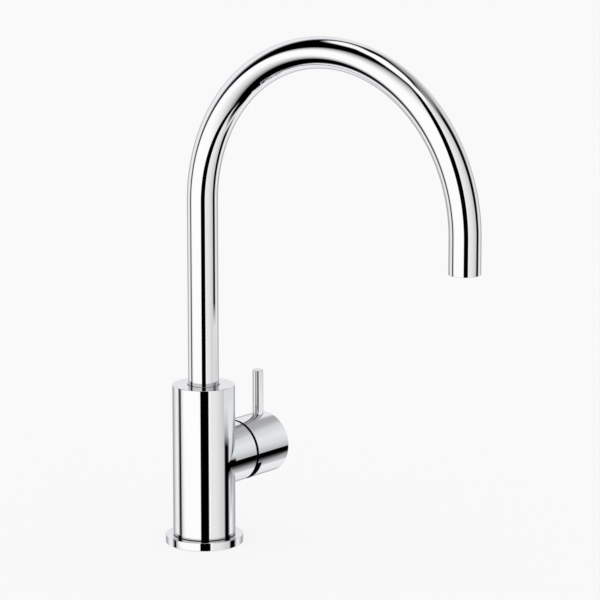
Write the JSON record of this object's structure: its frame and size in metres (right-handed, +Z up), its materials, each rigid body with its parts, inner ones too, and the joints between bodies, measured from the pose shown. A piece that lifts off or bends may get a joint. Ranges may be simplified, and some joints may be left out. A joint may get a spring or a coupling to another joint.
{
  "type": "gooseneck mixer tap",
  "caption": "One-hole kitchen mixer with a cylindrical body, a tall arched swivel spout and a side handle cap with a small upright pin for flow and temperature.",
  "frame": {"origin": "middle of the base flange's underside, on the worktop", "axes": "+Z up along the body and spout swivel, -Y towards the outlet, +X towards the handle"},
  "size_m": [0.097, 0.269, 0.3756],
  "materials": {
    "chrome": "polished chrome plate",
    "brass": "turned, bare",
    "steel": "stainless, satin",
    "seal_rubber": "matt",
    "bearing_plastic": "moulded, satin",
    "cartridge_plastic": "moulded, satin",
    "aerator_plastic": "moulded, satin",
    "valve_ceramic": "lapped"
  },
  "bodies": {
    "body": {"base_flange": "chrome", "base_gasket": "seal_rubber", "mixer_body": "chrome", "upper_bush": "bearing_plastic", "thrust_ring": "bearing_plastic", "lower_bush": "bearing_plastic", "spout_lock_screw": "steel", "cartridge_base": "cartridge_plastic", "cartridge_seals": "seal_rubber", "fixed_disc": "valve_ceramic", "cartridge_housing": "cartridge_plastic", "cartridge_nut": "brass"},
    "spout": {"spout_tube": "chrome", "spout_tail": "brass", "spout_o_rings": "seal_rubber", "outlet_bush": "brass", "aerator_gasket": "seal_rubber", "aerator_housing": "aerator_plastic", "aerator_insert": "aerator_plastic", "flow_regulator": "aerator_plastic", "aerator_screen": "steel"},
    "turret": {"cartridge_rotor": "cartridge_plastic", "stem_pivot_pin": "steel"},
    "disc_carriage": {"moving_disc": "valve_ceramic", "disc_driver": "cartridge_plastic"},
    "lever": {"handle_cap": "chrome", "lever_pin": "chrome", "cartridge_stem": "brass", "handle_grub_screw": "steel", "screw_hole_plug": "chrome"}
  },
  "joints": [
    {"name": "spout_swivel", "type": "hinge", "parent": "body", "child": "spout", "pos_m": [0, 0, 0.1045], "axis": [0, 0, 1], "range_deg": [-75, 75]},
    {"name": "temperature", "type": "hinge", "parent": "body", "child": "turret", "pos_m": [0.02795, 0, 0.061], "axis": [1, 0, 0], "range_deg": [-45, 45]},
    {"name": "flow", "type": "hinge", "parent": "turret", "child": "lever", "pos_m": [0.02795, 0, 0.061], "axis": [0, 1, 0], "range_deg": [0, 14]},
    {"name": "disc_slide", "type": "slide", "parent": "turret", "child": "disc_carriage", "axis": [0, 0, 1], "range_m": [0, 0.0017]}
  ],
  "couplings": [
    {"joint": "disc_slide", "follows": "flow", "m_per_rad": 0.0065345}
  ]
}
